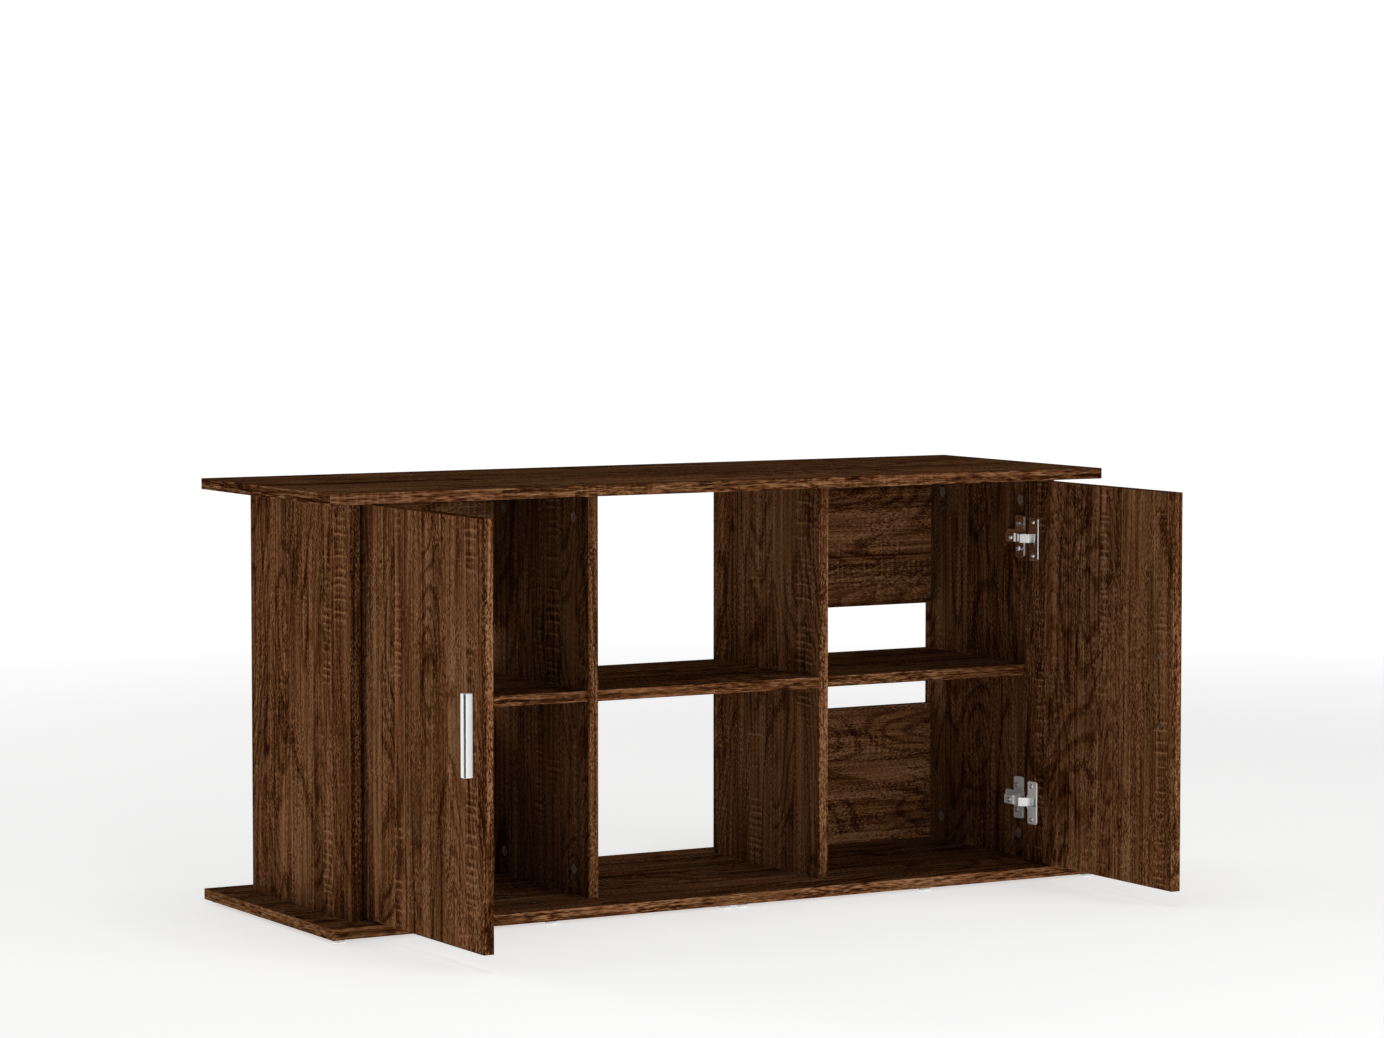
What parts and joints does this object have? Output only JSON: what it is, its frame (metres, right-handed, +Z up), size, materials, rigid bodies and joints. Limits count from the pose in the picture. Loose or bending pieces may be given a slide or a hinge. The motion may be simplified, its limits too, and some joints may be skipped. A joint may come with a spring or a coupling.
{
  "type": "aquarium stand cabinet",
  "caption": "Low oak-effect board stand for a fish tank, with an open middle bay, hinged doors on both sides, fixed shelves and overhanging top and base panels.",
  "frame": {"origin": "on the floor, under the centre of the top and bottom panels", "axes": "+X along the width to the right, +Y to the back, +Z up; the doors face -Y"},
  "size_m": [1.21, 0.701, 0.585],
  "materials": {
    "oak_foil_board": "dark oak printed foil on particle board, satin",
    "edge_banding": "oak printed edge strip, slightly lighter, satin",
    "dowel_beech": "raw beech",
    "handle_aluminium": "satin anodised",
    "hinge_nickel": "bright nickel plating",
    "fastener_steel": "zinc plated",
    "fastener_brown": "brown lacquered screw heads",
    "cam_zinc": "die-cast zinc, dull",
    "glide_plastic": "milky white moulded plastic"
  },
  "bodies": {
    "carcass": {"arm_screws": "fastener_steel", "bottom_edge_band": "edge_banding", "bottom_panel": "oak_foil_board", "cam_bolts": "cam_zinc", "cam_locks": "cam_zinc", "glide_nails": "fastener_steel", "glide_pads": "glide_plastic", "left_divider": "oak_foil_board", "left_divider_edge_bands": "edge_banding", "left_lower_back_rail": "oak_foil_board", "left_lower_hinge_arm": "hinge_nickel", "left_lower_mounting_plate": "hinge_nickel", "left_shelf": "oak_foil_board", "left_side_edge_bands": "edge_banding", "left_side_panel": "oak_foil_board", "left_upper_back_rail": "oak_foil_board", "left_upper_hinge_arm": "hinge_nickel", "left_upper_mounting_plate": "hinge_nickel", "long_dowels": "dowel_beech", "middle_shelf": "oak_foil_board", "mounting_plate_screws": "fastener_steel", "rail_edge_bands": "edge_banding", "right_divider": "oak_foil_board", "right_divider_edge_bands": "edge_banding", "right_lower_back_rail": "oak_foil_board", "right_lower_hinge_arm": "hinge_nickel", "right_lower_mounting_plate": "hinge_nickel", "right_shelf": "oak_foil_board", "right_side_edge_bands": "edge_banding", "right_side_panel": "oak_foil_board", "right_upper_back_rail": "oak_foil_board", "right_upper_hinge_arm": "hinge_nickel", "right_upper_mounting_plate": "hinge_nickel", "shelf_edge_bands": "edge_banding", "short_dowels": "dowel_beech", "top_edge_band": "edge_banding", "top_panel": "oak_foil_board"},
    "left_door": {"left_cup_screws": "fastener_steel", "left_door": "oak_foil_board", "left_door_edge_band": "edge_banding", "left_handle": "handle_aluminium", "left_handle_screws": "fastener_brown", "left_hinge_pins": "hinge_nickel", "left_lower_hinge_cup": "hinge_nickel", "left_upper_hinge_cup": "hinge_nickel"},
    "right_door": {"right_cup_screws": "fastener_steel", "right_door": "oak_foil_board", "right_door_edge_band": "edge_banding", "right_handle": "handle_aluminium", "right_handle_screws": "fastener_brown", "right_hinge_pins": "hinge_nickel", "right_lower_hinge_cup": "hinge_nickel", "right_upper_hinge_cup": "hinge_nickel"}
  },
  "joints": [
    {"name": "left_door_swing", "type": "hinge", "parent": "carcass", "child": "left_door", "pos_m": [-0.528, -0.149, 0.295], "axis": [0, 0, -1], "range_deg": [-90, 10]},
    {"name": "right_door_swing", "type": "hinge", "parent": "carcass", "child": "right_door", "pos_m": [0.528, -0.149, 0.295], "axis": [0, 0, 1], "range_deg": [-90, 10]}
  ]
}
